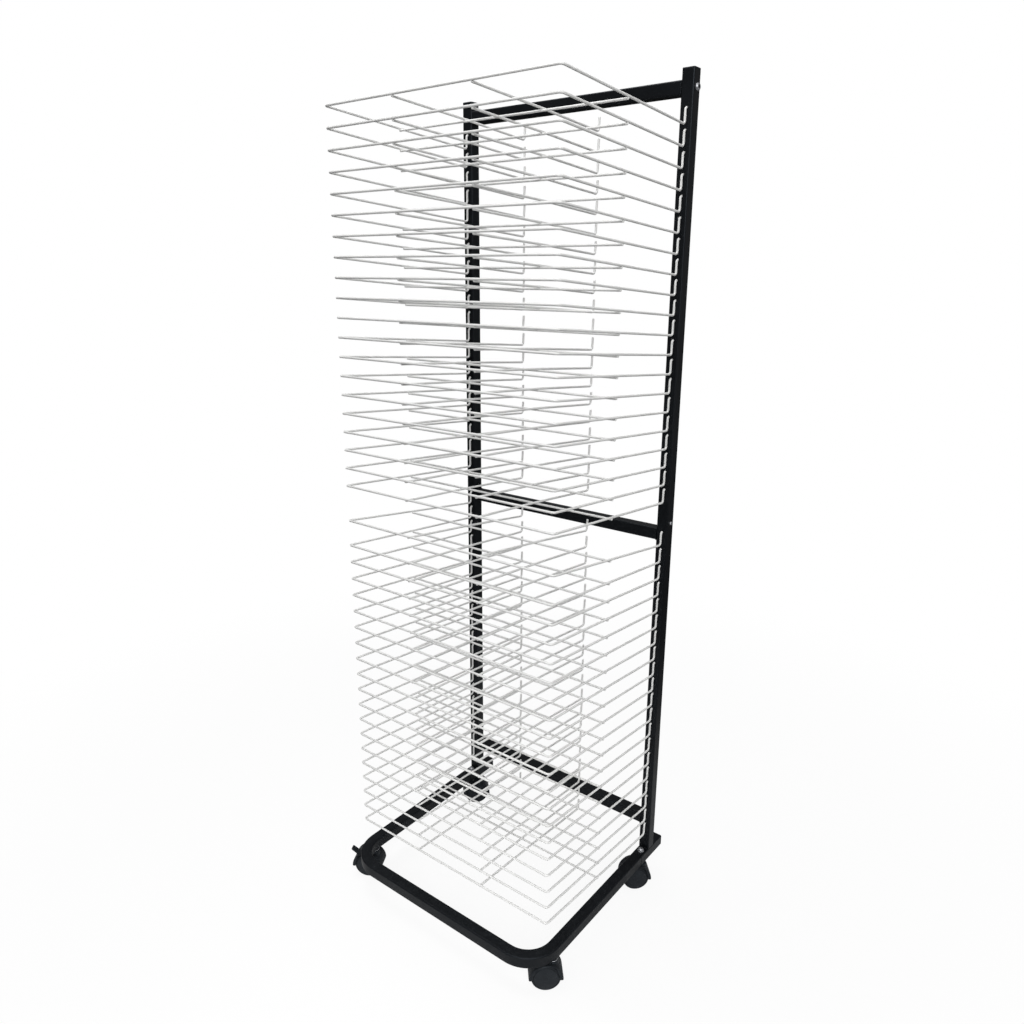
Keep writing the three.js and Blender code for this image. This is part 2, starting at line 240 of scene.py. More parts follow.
wheelPlastic = {
    "deep": (0.0078, 0.0092, 0.0110, 1),
    "pale": (0.0122, 0.0141, 0.0165, 1),
    "dust": (0.060, 0.058, 0.054, 1),
    "shine": 0.30,
    "roughness": 0.42,
    "cloudScale": 70.0,
    "grainScale": 1500.0,
    "scuffScale": 420.0,
    "scuffStretch": (1.0, 0.35, 1.0),
    "scuffRange": (0.44, 0.66),
    "dustFrom": 0.0261,  # metres from the axle where the tread's dust begins
    "dustFade": 0.0012,
    "dustShare": 0.5,
    "bump": 0.12,
    "bumpDepth": 0.0002,
}


def makeWheelGrey():
    plastic = wheelPlastic
    finish = Finish("wheel_grey", {"Specular IOR Level": plastic["shine"], "Specular Tint": coolShine})
    where = finish.add("ShaderNodeTexCoord", out="Object")
    flat = finish.add("ShaderNodeVectorMath", {"operation": "MULTIPLY"}, {0: where, 1: (1.0, 0.0, 1.0)})
    radius = finish.add("ShaderNodeVectorMath", {"operation": "LENGTH"}, {0: flat}, out="Value")
    cloud = finish.cloud(plastic["cloudScale"])
    scuff = finish.noise(plastic["scuffScale"], 4.0, plastic["scuffStretch"]).step(*plastic["scuffRange"])
    onTread = radius.step(plastic["dustFrom"], plastic["dustFrom"] + plastic["dustFade"])
    dust = onTread * scuff * plastic["dustShare"]
    colour = finish.blend(plastic["deep"], plastic["pale"], cloud)
    finish.feed({
        "Base Color": finish.blend(colour, plastic["dust"], dust),
        "Roughness": plastic["roughness"] + cloud * 0.08 + dust * 0.5,
    })
    grain = finish.noise(plastic["grainScale"], 2.0)
    finish.bump(grain + scuff * 0.5, plastic["bump"], plastic["bumpDepth"])
    return finish.material


powderBlack = makePowderBlack()
wireWhite = makeWireWhite()
brightZinc = makeZinc()
hoodGrey = makeHoodGrey()
wheelGrey = makeWheelGrey()
print("finishes: 5")

pole = 0.05  # radius of a turned shape where it closes on its axis
hexagon = 6  # third value of a turned profile's point


class Shape:  # points and faces, in millimetres
    def __init__(self):
        self.points, self.faces = [], []

    def skin(self, rings, looped=False):  # rings of equal count, closed by end faces unless looped
        base, count = len(self.points), len(rings[0])
        for ring in rings:
            self.points += [Vector(point) for point in ring]
        spans = range(len(rings) if looped else len(rings) - 1)
        for i in spans:
            low, high = base + i * count, base + (i + 1) % len(rings) * count
            for k in range(count):
                n = (k + 1) % count
                self.faces.append((low + k, low + n, high + n, high + k))
        if not looped:
            end = base + (len(rings) - 1) * count
            self.faces.append(tuple(range(base, base + count)))
            self.faces.append(tuple(range(end, end + count)))
        return self

    def lathe(self, profile, steps, place=Matrix()):  # (radius, height) or (radius to corners, height, sides)
        rings = []
        for radius, height, *sides in profile:
            ring = []
            for k in range(steps):
                angle = 2 * math.pi * k / steps
                reach = radius
                if sides:
                    half = math.pi / sides[0]
                    reach *= math.cos(half) / math.cos(angle % (2 * half) - half)
                ring.append(place @ Vector((reach * math.cos(angle), reach * math.sin(angle), height)))
            rings.append(ring)
        return self.skin(rings)

    def mesh(self, name, finish):
        data = bpy.data.meshes.new(name)
        data.from_pydata([point * mm for point in self.points], [], self.faces)
        outward = bmesh.new()
        outward.from_mesh(data)
        bmesh.ops.recalc_face_normals(outward, faces=outward.faces)
        outward.to_mesh(data)
        outward.free()
        data.materials.append(finish)
        return data


def closed(profile):  # a turned profile carried to the axis at both ends
    return [(pole, profile[0][1]), *profile, (pole, profile[-1][1])]


def disc(radius, low, high, bevel):
    return closed([(radius - bevel, low), (radius, low + bevel),
                   (radius, high - bevel), (radius - bevel, high)])


def shadeEdges(data, angle=34):
    data.polygons.foreach_set("use_smooth", [True] * len(data.polygons))
    data.set_sharp_from_angle(angle=math.radians(angle))


def addPiece(name, data, body, nodes=(), place=Matrix(), flats=True):
    shadeEdges(data)
    piece = bpy.data.objects.new(name, data)
    bpy.context.scene.collection.objects.link(piece)
    piece.matrix_world = place
    if flats:  # keeps large flat faces flat in the light
        piece.modifiers.new("flats", "WEIGHTED_NORMAL").keep_sharp = True
    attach(piece, body)
    if nodes:
        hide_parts(*nodes)


def roundedPath(corners, radii, steps=6):  # an arc at each inner corner
    path = [corners[0]]
    for before, corner, after, radius in zip(corners, corners[1:], corners[2:], radii):
        back, ahead = (before - corner).normalized(), (after - corner).normalized()
        half = back.angle(ahead) / 2
        centre = corner + (back + ahead).normalized() * (radius / math.sin(half))
        spoke = corner + back * (radius / math.tan(half)) - centre
        axis = ahead.cross(back)
        for i in range(steps + 1):
            turn = Matrix.Rotation((math.pi - 2 * half) * i / steps, 3, axis)
            path.append(centre + turn @ spoke)
    return path + [corners[-1]]


def ringsAlong(section, path, up, scales=None):
    rings, last, normal = [], len(path) - 1, Vector(up)
    before = None
    for i, point in enumerate(path):
        tangent = Vector()
        if i > 0:
            tangent += (point - path[i - 1]).normalized()
        if i < last:
            tangent += (path[i + 1] - point).normalized()
        tangent.normalize()
        if before is not None:
            normal.rotate(before.rotation_difference(tangent))
        before = tangent
        side = tangent.cross(normal)
        size = scales[i] if scales else 1
        rings.append([point + (normal * a + side * b) * size for a, b in section])
    return rings


def easedEnds(path, length):  # a further point near each end of a path
    first, last = (path[1] - path[0]).normalized(), (path[-2] - path[-1]).normalized()
    return [path[0], path[0] + first * length, *path[1:-1], path[-1] + last * length, path[-1]]


def circle(radius, sides):
    turn = 2 * math.pi / sides
    return [(radius * math.cos(turn * k), radius * math.sin(turn * k)) for k in range(sides)]


def roundedSquare(size, radius, steps=5):
    points, middle = [], size / 2 - radius
    for quarter in range(4):
        diagonal = math.pi / 2 * (quarter + 0.5)
        x = math.copysign(middle, math.cos(diagonal))
        y = math.copysign(middle, math.sin(diagonal))
        for i in range(steps + 1):
            angle = math.pi / 2 * (quarter + i / steps)
            points.append((x + radius * math.cos(angle), y + radius * math.sin(angle)))
    return points


tubeRim = {"length": 0.7, "narrower": 0.84, "leastEdge": 0.6}  # the filed ends, and the least inner edge


def addTube(shape, size, wall, edge, path, up):  # square, open at both ends
    outerPath = easedEnds(path, tubeRim["length"])
    rim = (size - tubeRim["narrower"]) / size
    outer = ringsAlong(roundedSquare(size, edge), outerPath, up, [rim, *[1] * (len(outerPath) - 2), rim])
    inner = ringsAlong(roundedSquare(size - 2 * wall, max(edge - wall, tubeRim["leastEdge"])), path, up)
    shape.skin(outer + inner[::-1], looped=True)


weldBead = {
    "sides": 8,
    "ripple": 0.13,  # shares of the radius
    "ripplePace": 2.3,
    "waver": 0.05,
    "waverPace": 5.1,
    "tip": 0.35,
}


def addBead(shape, path, radius, up):  # a painted weld with its ripples
    bead = weldBead
    scales = []
    for i in range(len(path)):
        ripple = bead["ripple"] * math.sin(bead["ripplePace"] * i)
        scales.append(1 + ripple + bead["waver"] * math.sin(bead["waverPace"] * i + 1))
    scales[0] = scales[-1] = bead["tip"]
    shape.skin(ringsAlong(circle(radius, bead["sides"]), path, up, scales))


def between(start, end, count):
    return [start.lerp(end, i / count) for i in range(count + 1)]


def boxOf(node):  # a node's corners in millimetres
    low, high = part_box(node)
    return low / mm, high / mm


trayWire = {
    "perSet": 20,
    "radius": 2.0,
    "sides": 12,
    "cropped": 0.62,  # share of the radius at a worn, cropped end
    "croppedLength": 0.4,
    "standOff": 2.3,  # wire's centre ahead of the uprights' front face
    "holeX": 237.0,
    "hookReach": 5.0,
    "leg": 25.5,
    "depth": 355.0,
    "innerSpacing": 162.0,
    "innerAhead": 16.0,  # turned-up end of an inner wire, from the legs
    "innerEnd": 23.0,
    "innerDip": 2.6,  # of an inner wire's front end below the front wire
    "innerShort": 0.5,
    "dipBend": 400.0,
    "crossAhead": 183.0,
    "crossOverhang": 1.0,
    "sink": 0.7,  # of one wire in another at a weld
    "hookBend": 4.6,
    "heelBend": 5.0,
    "frontBend": 5.5,
    "slope": 4.5,
    "raisedSlope": 6.9,  # of the first tray of the lower set
    "weldRadius": 1.75,
    "weldForm": ((0.6, -0.85), (1.15, 0), (0.6, 0.85)),  # shares of that radius, out and along
    "weldTip": 0.02,
}


def addWire(shape, path):
    radius = trayWire["radius"]
    points = easedEnds(path, trayWire["croppedLength"] * radius)
    scales = [trayWire["cropped"], *[1] * (len(points) - 2), trayWire["cropped"]]
    lengthwise = abs((path[1] - path[0]).normalized().x) > 0.9
    section = circle(radius, trayWire["sides"])
    shape.skin(ringsAlong(section, points, alongZ if lengthwise else alongX, scales))


def addWeld(shape, place):  # the squeezed metal where two wires cross
    radius, tip = trayWire["weldRadius"], trayWire["weldTip"]
    form = [(out * radius, along * radius) for out, along in trayWire["weldForm"]]
    turn = alongX.to_track_quat("Z", "Y").to_matrix().to_4x4()
    shape.lathe([(tip, -radius), *form, (tip, radius)], steps=8, place=Matrix.Translation(place) @ turn)


def makeTray(name, slope):
    size = trayWire
    tilt = math.radians(slope)

    def onSlope(x, ahead, below=0.0):
        y = -size["standOff"] - ahead * math.cos(tilt) - below * math.sin(tilt)
        return Vector((x, y, -size["leg"] + ahead * math.sin(tilt) - below * math.cos(tilt)))

    shape = Shape()
    hookX, innerX = size["holeX"], size["innerSpacing"] / 2
    run = []
    for x in (-hookX, hookX):
        half = [Vector((x, size["hookReach"], 0)), Vector((x, -size["standOff"], 0)),
                onSlope(x, 0), onSlope(x, size["depth"])]
        run += half if x < 0 else half[::-1]
    bends = [size["hookBend"], size["heelBend"], size["frontBend"]]
    addWire(shape, roundedPath(run, bends + bends[::-1]))
    innerReach = size["depth"] - size["innerShort"]
    for x in (-innerX, innerX):
        tip = onSlope(x, size["innerAhead"], -size["innerEnd"])
        heel = onSlope(x, size["innerAhead"])
        rest = onSlope(x, size["crossAhead"])  # from here it dips to pass under the front wire
        front = onSlope(x, innerReach, size["innerDip"])
        addWire(shape, roundedPath([tip, heel, rest, front], [size["heelBend"], size["dipBend"]]))
        addWeld(shape, onSlope(x, innerReach, size["innerDip"] / 2))
    crossX = hookX + size["crossOverhang"]
    crossBelow = 2 * size["radius"] - size["sink"]
    addWire(shape, [onSlope(x, size["crossAhead"], crossBelow) for x in (-crossX, crossX)])
    for x in (-hookX, -innerX, innerX, hookX):
        addWeld(shape, onSlope(x, size["crossAhead"], crossBelow / 2))
    return shape.mesh(name, wireWhite)


def addTrays():
    plain = makeTray("tray", trayWire["slope"])
    raised = makeTray("raised_tray", trayWire["raisedSlope"])
    for label in ("upper", "lower"):
        for i in range(1, trayWire["perSet"] + 1):
            node = f"{label}_tray_{i:02d}"
            hinge = Vector(joints[node + "_lift"]["pos_m"])
            place = Matrix.Translation((0, frontFace * mm, hinge.z))
            data = raised if node == "lower_tray_01" else plain
            addPiece(node + "_wires", data, node, [node], place, flats=False)


uprightTube = {
    "size": 23.0,
    "wall": 1.0,
    "edge": 2.6,  # radius of the tube's long edges
    "cap": 2.6,
    "plug": 2.2,
    "plugForm": ((0, 1), (0.6, 1), (0.9, 0.99), (1, 0.96)),  # shares of depth and width
    "holeRadius": 3.05,
    "holeSides": 16,
    "holeDrop": 0.5,  # below the hook, whose bend starts ahead of the hole
    "drill": 3.0,  # ahead of the front face and behind it
    "weld": 1.5,
    "weldOff": 0.2,  # bead's centre off the post
    "weldSink": 0.1,
    "weldInset": 2.4,
    "weldSteps": 16,
}
hookPlace = Vector(joints["upper_tray_01_lift"]["pos_m"]) / mm
frontFace = hookPlace.y - uprightTube["wall"] / 2
hookHeights = [joints[name]["pos_m"][2] / mm for name in joints if name.endswith("_lift")]


def addEndPiece(shape, middle, along, depth, up):  # a plug's rounded end
    form = uprightTube["plugForm"]
    path = [middle + along * depth * share for share, _ in form]
    section = roundedSquare(uprightTube["size"], uprightTube["edge"])
    shape.skin(ringsAlong(section, path, up, [width for _, width in form]))


def drillHoles(mesh, x):
    size = uprightTube
    drill, section = Shape(), circle(size["holeRadius"], size["holeSides"])
    for height in hookHeights:
        z = height - size["holeDrop"]
        path = [Vector((x, frontFace + y, z)) for y in (-size["drill"], size["drill"])]
        drill.skin(ringsAlong(section, path, alongZ))
    piece = bpy.data.objects.new("drilled", mesh)
    cutter = bpy.data.objects.new("drill", drill.mesh("drill", powderBlack))
    for helper in (piece, cutter):
        bpy.context.scene.collection.objects.link(helper)
    cut = piece.modifiers.new("holes", "BOOLEAN")
    cut.operation, cut.solver, cut.object = "DIFFERENCE", "EXACT", cutter
    bpy.context.view_layer.update()
    drilled = bpy.data.meshes.new_from_object(piece.evaluated_get(bpy.context.evaluated_depsgraph_get()))
    for helper in (piece, cutter):
        bpy.data.objects.remove(helper)
    return drilled


def addUpright(label, side):
    low, high = boxOf(label + "_upright")
    size, wall, edge = uprightTube["size"], uprightTube["wall"], uprightTube["edge"]
    half = size / 2
    x, postY = (low.x + high.x) / 2, frontFace + half
    footTop, footMiddle = low.z + size, low.z + half
    postTop, plugAt = high.z - uprightTube["cap"], high.y - uprightTube["plug"]

    post = Shape()
    addTube(post, size, wall, edge, [Vector((x, postY, footTop)), Vector((x, postY, postTop))], alongX)
    drilled = drillHoles(post.mesh(label + "_blank", powderBlack), side * trayWire["holeX"])
    drilled.name = label + "_post"
    addPiece(label + "_post", drilled, "frame", [label + "_upright"])

    foot = Shape()
    addTube(foot, size, wall, edge, [Vector((x, low.y, footMiddle)), Vector((x, plugAt, footMiddle))], alongZ)
    off, inset = uprightTube["weldOff"], uprightTube["weldInset"]
    for y in (frontFace - off, frontFace + size + off):  # welds ahead of and behind the post
        ends = [Vector((x + dx, y, footTop - uprightTube["weldSink"])) for dx in (inset - half, half - inset)]
        addBead(foot, between(*ends, uprightTube["weldSteps"]), uprightTube["weld"], alongZ)
    addPiece(label + "_foot", foot.mesh(label + "_foot", powderBlack), "frame")

    plugs = Shape()
    addEndPiece(plugs, Vector((x, postY, postTop)), alongZ, uprightTube["cap"], alongX)
    addEndPiece(plugs, Vector((x, plugAt, footMiddle)), alongY, uprightTube["plug"], alongZ)
    addPiece(label + "_plugs", plugs.mesh(label + "_plugs", hoodGrey), "frame")


crossbarTube = {"wall": 1.0, "edge": 2.6, "weld": 1.3, "weldOff": 0.2, "weldSteps": 6}


def addCrossbar(label, welded):
    low, high = boxOf(label + "_crossbar")
    middle, size = (low + high) / 2, high.z - low.z
    edge = crossbarTube["edge"]
    ends = [Vector((x, middle.y, middle.z)) for x in (low.x, high.x)]
    bar = Shape()
    addTube(bar, size, crossbarTube["wall"], edge, ends, alongZ)
    if welded:
        outline = roundedSquare(size, edge, crossbarTube["weldSteps"])
        for end, inward in zip(ends, (1, -1)):
            loop = [end + Vector((inward * crossbarTube["weldOff"], a, b)) for a, b in outline]
            addBead(bar, loop + loop[:1], crossbarTube["weld"], alongX)
    data = bar.mesh(label + "_bar", powderBlack)
    addPiece(label + "_bar", data, "frame", [label + "_crossbar"])


baseTube = {
    "wall": 1.0,
    "edge": 2.8,
    "bend": 61.0,
    "bendSteps": 16,
    "seam": 1.0,  # open joint that shows between base tube and foot
    "reduced": 20.4,  # of the ends that slide into the feet
    "reducedEdge": 1.8,
    "overlap": 2.0,
}


def addBase():
    low, high = boxOf("base_tube")
    half, z = uprightTube["size"] / 2, (low.z + high.z) / 2
    seam = boxOf("left_upright")[0].y - baseTube["seam"]
    left, right, front = low.x + half, high.x - half, low.y + half
    corners = [Vector((x, y, z)) for x, y in ((left, seam), (left, front), (right, front), (right, seam))]
    path = roundedPath(corners, [baseTube["bend"]] * 2, baseTube["bendSteps"])
    base = Shape()
    addTube(base, uprightTube["size"], baseTube["wall"], baseTube["edge"], path, alongZ)
    for x in (left, right):
        ends = [Vector((x, seam - baseTube["overlap"], z)), Vector((x, high.y, z))]
        addTube(base, baseTube["reduced"], baseTube["wall"], baseTube["reducedEdge"], ends, alongZ)
    addPiece("base_bend", base.mesh("base_bend", powderBlack), "frame", ["base_tube"])


boltHead = {
    "steps": 36,
    "lift": 0.05,
    "foot": 0.97,  # shares of the head's radius and height from here on
    "crown": ((1, 0.2), (0.985, 0.36), (0.93, 0.60), (0.84, 0.82), (0.72, 0.95), (0.62, 1)),
    "socket": 0.50,
    "socketDepth": 0.62,
    "shank": 0.44,
    "shankSteps": 16,
}


def addBolt(label, level, side):
    node = f"{label}_{level}_bolt"
    head = boltHead
    low, high = boxOf(node)
    middle, radius = (low + high) / 2, (high.z - low.z) / 2
    seat = boxOf(label + "_upright")[0 if side < 0 else 1].x
    top, reach = (high.x - seat, seat - low.x) if side > 0 else (seat - low.x, high.x - seat)
    place = Matrix.Translation((seat, middle.y, middle.z)) @ Matrix.Rotation(side * math.pi / 2, 4, "Y")

    socket, floor = head["socket"] * radius, top * (1 - head["socketDepth"])
    profile = [(pole, head["lift"]), (head["foot"] * radius, head["lift"])]
    profile += [(out * radius, rise * top) for out, rise in head["crown"]]
    profile += [(1.10 * socket, top), (socket, 0.95 * top, hexagon), (0.96 * socket, floor, hexagon),
                (pole, floor - 0.1)]
    bolt = Shape().lathe(profile, head["steps"], place)
    shank = head["shank"] * radius
    shankForm = closed([(0.9 * shank, -reach), (shank, 0.3 - reach), (shank, 0.2)])
    bolt.lathe(shankForm, head["shankSteps"], place)
    data = bolt.mesh(node + "_head", brightZinc)
    addPiece(node + "_head", data, "frame", [node], flats=False)

    # painted shade: a black lining in the hex socket stands in for the shadow inside the zinc recess
    painted_shade_lining = [(pole, floor), (0.955 * socket, floor, hexagon), (0.955 * socket, 0.80 * top, hexagon),
              (0.93 * socket, 0.80 * top, hexagon), (0.90 * socket, floor + 0.2, hexagon),
              (pole, floor + 0.15)]
    data = Shape().lathe(painted_shade_lining, head["steps"], place).mesh(node + "_recess_painted_shade", powderBlack)
    addPiece(node + "_recess_painted_shade", data, "frame", flats=False)


stemNut = {
    "steps": 36,
    "washer": 6.9,
    "washerHeight": 0.9,
    "corner": 6.2,
    "height": 4.4,
    "dome": 2.2,
    "domeRadius": 0.76,  # share of the corner
    "domeFoot": 0.3,
    "domeSteps": 6,
}


def addNut(label, joint):
    nut = stemNut
    x, y, _ = Vector(joint["pos_m"]) / mm
    seat = boxOf(label + "_upright")[0].z + uprightTube["size"]
    place = Matrix.Translation((x, y, seat))
    washer, rise = nut["washer"], nut["washerHeight"]
    shape = Shape()
    shape.lathe(closed([(washer - 0.2, 0), (washer, 0.25), (washer, rise - 0.25), (washer - 0.25, rise)]),
                nut["steps"], place)
    corner, top = nut["corner"], nut["height"]
    profile = [(pole, rise), (0.88 * corner, rise), (corner, rise + 0.7, hexagon),
               (corner, top - 0.9, hexagon), (0.86 * corner, top)]
    for i in range(nut["domeSteps"] + 1):
        angle = math.pi / 2 * i / nut["domeSteps"]
        height = top + nut["domeFoot"] + (nut["dome"] - nut["domeFoot"]) * math.sin(angle)
        profile.append((nut["domeRadius"] * corner * math.cos(angle) + pole, height))
    shape.lathe(profile, nut["steps"], place)
    addPiece(label + "_stem_nut", shape.mesh(label + "_stem_nut", brightZinc), "frame", flats=False)


casterSize = {
    "steps": 56,
    "trail": 11.0,
    "wheelRadius": 27.5,
    "wheelInner": 3.6,
    "wheelOuter": 19.1,
    "wheelBore": 3.0,
    "axle": 2.9,
    "dome": 2.5,
    "shoulder": ((0, -3.0), (0.45, -1.5), (1.4, -0.45), (2.6, 0), (3.4, 0.1), (3.9, -0.5), (4.5, -0.5),
                 (5.0, 0.35)),  # in from the tread and out from the wheel's edge, groove included
    "discSteps": 8,
    "discInner": 6.2,
    "cap": ((6.0, 0.30), (5.6, 0.42), (5.2, 0.42), (4.8, 0.15), (3.0, 0)),  # radius, in from the face
    "hoodRadius": 32.08,
    "hoodWall": 1.6,
    "hoodHalf": 20.48,
    "hoodDrop": 1.0,
    "hoodEnd": ((0.0, 0.5), (0.012, 0.15), (0.03, 0.0)),  # radians from an end, and what is trimmed there
    "skirtWall": 4.2,  # at the hood's two ends, where it is thickest
    "skirtHold": 30.0,  # degrees from the end that keep this wall
    "skirtFade": 26.0,
    "lip": 2.3,
    "web": 6.0,
    "webBevel": 0.5,
    "webDrop": 0.03,  # radians below the axle
    "webSteps": 40,
    "hub": 6.5,
    "boss": ((13.5, -9.0), (13.0, -2.0), (12.0, -0.3), (10.8, 0.6), (9.8, 0.9)),  # radius, rise
    "collar": 8.7,
    "flange": 12.5,  # on the front stems, which have no nut
    "flangeThick": 1.0,
    "stem": 4.0,
}


def aroundAxle(points, angle):  # (y, radius) pairs turned about the axle
    return [Vector((radius * math.cos(angle), y, radius * math.sin(angle))) for y, radius in points]


def hoodSection(outer, inner, half, lip):  # lip is how far the side rims turn in over the wheels
    rim = [(3.2, inner), (2.6, inner - lip), (0.5, inner - lip), (0.0, inner - lip + 0.6),
           (0.25, outer - 1.2), (1.0, outer - 0.5), (2.4, outer - 0.12), (5.0, outer)]
    ends = [(inset - half, radius) for inset, radius in rim]
    return ends + [(-y, radius) for y, radius in ends[::-1]]


def addShell(shape):
    size = casterSize
    outer, count = size["hoodRadius"], size["steps"]
    dip = math.asin(size["hoodDrop"] / outer)
    sweep = math.pi + 2 * dip
    hold, fade = math.radians(size["skirtHold"]), math.radians(size["skirtFade"])
    stations = [*size["hoodEnd"], *[(sweep * i / count, 0.0) for i in range(2, count - 1)]]
    stations += [(sweep - fromEnd, trim) for fromEnd, trim in size["hoodEnd"][::-1]]
    rings = []
    for along, trim in stations:
        past = min(along, sweep - along) - hold
        near = min(1.0, max(0.0, 1 - past / fade))
        thick = size["hoodWall"] + (size["skirtWall"] - size["hoodWall"]) * near
        section = hoodSection(outer - trim, outer - thick + trim, size["hoodHalf"] - trim, size["lip"] * near)
        rings.append(aroundAxle(section, along - dip))
    shape.skin(rings)


def addWeb(shape):  # the plate between the wheels
    size = casterSize
    web, bevel, count = size["web"] / 2, size["webBevel"], size["webSteps"]
    reach = size["hoodRadius"] - size["hoodWall"] + 0.8
    rings = []
    for y, inset in ((-web, bevel), (bevel - web, 0), (web - bevel, 0), (web, bevel)):
        ring = []
        for i in range(count + 1):
            angle = -size["webDrop"] + (math.pi + 2 * size["webDrop"]) * i / count
            x, z = math.cos(angle) * reach, math.sin(angle) * reach
            lift = inset if z < 0 else -inset * z / reach
            ring.append(Vector((x * (1 - inset / reach), y, z + lift)))
        rings.append(ring)
    shape.skin(rings)
    hub = disc(size["hub"], 0.3 - web, web - 0.3, bevel=0.5)
    shape.lathe(hub, steps=24, place=Matrix.Rotation(math.pi / 2, 4, "X"))


def makeHood():
    size = casterSize
    shape = Shape()
    addShell(shape)
    addWeb(shape)
    crown = math.sqrt(size["hoodRadius"] ** 2 - size["trail"] ** 2)
    boss = [(radius, crown + rise) for radius, rise in size["boss"]]
    shape.lathe(closed(boss), steps=36, place=Matrix.Translation((size["trail"], 0, 0)))
    return shape.mesh("hood", hoodGrey)


def makeStem(name, seat, top, flange):  # bright collar and stem, drawn from the floor up
    size = casterSize
    crown = size["wheelRadius"] + math.sqrt(size["hoodRadius"] ** 2 - size["trail"] ** 2) + 0.5
    collar, stem = size["collar"], size["stem"]
    shape = Shape()
    shape.lathe(closed([(collar * 0.92, crown, hexagon), (collar, crown + 0.4, hexagon),
                        (collar, seat - 0.5, hexagon), (collar * 0.93, seat, hexagon)]), steps=36)
    shape.lathe(closed([(stem, seat - 1), (stem, top - 0.6), (stem - 0.6, top)]), steps=20)
    if flange:  # a thin plate against the tube, a little wider than it
        shape.lathe(disc(flange, seat - size["flangeThick"], seat, bevel=0.3), steps=36)
    return shape.mesh(name, brightZinc)


def makeWheels():
    size = casterSize
    tread, inner, outer = size["wheelRadius"], size["wheelInner"], size["wheelOuter"]
    edge = outer - size["dome"]
    profile = [(size["wheelBore"], inner + 0.2), (tread - 0.8, inner), (tread, inner + 0.8)]
    profile += [(tread - inset, edge + out) for inset, out in size["shoulder"]]
    discOuter, discFoot = profile[-1]
    for i in range(1, size["discSteps"]):  # shallow domed disc inside the groove
        share = i / size["discSteps"]
        radius = discOuter * (1 - share) + size["discInner"] * share
        profile.append((radius, discFoot + (size["dome"] - 0.75) * math.sin(math.pi / 2 * share)))
    profile += [(radius, outer - inset) for radius, inset in size["cap"]]
    shape = Shape()
    for side in (-1, 1):
        shape.lathe(closed(profile), size["steps"], Matrix.Rotation(-side * math.pi / 2, 4, "X"))
    axle = closed([(size["axle"], -inner - 1), (size["axle"], inner + 1)])
    shape.lathe(axle, steps=24, place=Matrix.Rotation(math.pi / 2, 4, "X"))
    return shape.mesh("wheels", wheelGrey)


def rollPlace(roll):  # where the axle lies, x to the front of the caster
    turn = math.atan2(-roll["axis"][0], roll["axis"][1])
    return Matrix.Translation(roll["pos_m"]), Matrix.Rotation(turn, 4, "Z")


def addCasters():
    hood, wheels = makeHood(), makeWheels()
    for end, carrier, flange in (("front", "base_tube", casterSize["flange"]), ("rear", "right_upright", 0)):
        top = boxOf(f"{end}_right_caster_housing")[1].z
        stem = makeStem(end + "_stem", boxOf(carrier)[0].z - 0.3, top, flange)
        for side in ("left", "right"):
            corner = f"{end}_{side}"
            x, y, _ = joints[corner + "_swivel"]["pos_m"]
            middle, turn = rollPlace(joints[corner + "_roll"])
            axle, upright = middle @ turn, Matrix.Translation((x, y, 0)) @ turn
            housing, pair = [corner + "_caster_housing"], [corner + "_caster_wheels"]
            addPiece(corner + "_hood", hood, corner + "_caster", housing, axle)
            addPiece(corner + "_stem", stem, corner + "_caster", place=upright, flats=False)
            addPiece(corner + "_wheel_pair", wheels, corner + "_wheels", pair, axle)


brakePedal = {
    "around": 140.0,  # degrees round the axle
    "tilt": 2.0,
    "width": 14.0,
    "thick": 3.0,
    "reach": 16.95,
    "bevel": 0.8,
    "taper": ((7.0, 1, 1), (2.5, 0.97, 1), (0.7, 0.90, 0.8), (0, 0.74, 0.45)),  # back, width, thickness
    "barrel": 2.6,
    "shoe": 8.0,
    "shoeThick": 1.2,
    "shoeBevel": 0.4,
    "shoeGap": 1.5,
    "ribs": 4,
    "ribFrom": 9.6,  # first rib, back from the tip
    "ribPitch": 2.1,
    "ribRadius": 0.55,
    "ribInset": 1.4,
}


def addTread(shape, half, thick):  # the plate for the toe, with grip ribs across it
    size, reach = brakePedal, brakePedal["reach"]
    tilted = Matrix.Rotation(-math.radians(size["tilt"]), 3, "Y")
    stations = [(0.0, half, thick), (5.0, half, thick)]
    stations += [(reach - back, half * wide, thick * high) for back, wide, high in size["taper"]]
    plate = []
    for x, wide, high in stations:
        bevel = min(size["bevel"], high * 0.6)
        plate.append([tilted @ Vector((x, y, z)) for y, z in (
            (wide, high - bevel), (wide - bevel, high), (bevel - wide, high), (-wide, high - bevel),
            (-wide, bevel - high), (bevel - wide, -high), (wide - bevel, -high), (wide, bevel - high))])
    shape.skin(plate)
    inset = size["ribInset"]
    for i in range(size["ribs"]):
        x = reach - size["ribFrom"] + size["ribPitch"] * i
        ends = [tilted @ Vector((x, y, thick * 0.9)) for y in (inset - half, half - inset)]
        shape.skin(ringsAlong(circle(size["ribRadius"], 8), between(*ends, 2), alongZ, [0.6, 1, 0.6]))


def addShoe(shape, half, thick, face):  # the arm through the hood and the shoe over the wheels
    size, bevel = brakePedal, brakePedal["shoeBevel"]
    section = ((half, thick), (-half, thick), (-half, -thick), (half, -thick))
    shape.skin([[Vector((x, y, z)) for y, z in section] for x in (face + 0.2, 0.5)])
    rings, end = [], size["shoeThick"]
    for x, inset in ((0.0, bevel), (bevel, 0.0), (end - bevel, 0.0), (end, bevel)):
        wide, low, high = half - inset, 0.6 + inset - thick, size["shoe"] - inset
        rings.append([Vector((face + x, y, z)) for y, z in
                      ((wide, low), (wide, high), (-wide, high), (-wide, low))])
    shape.skin(rings)


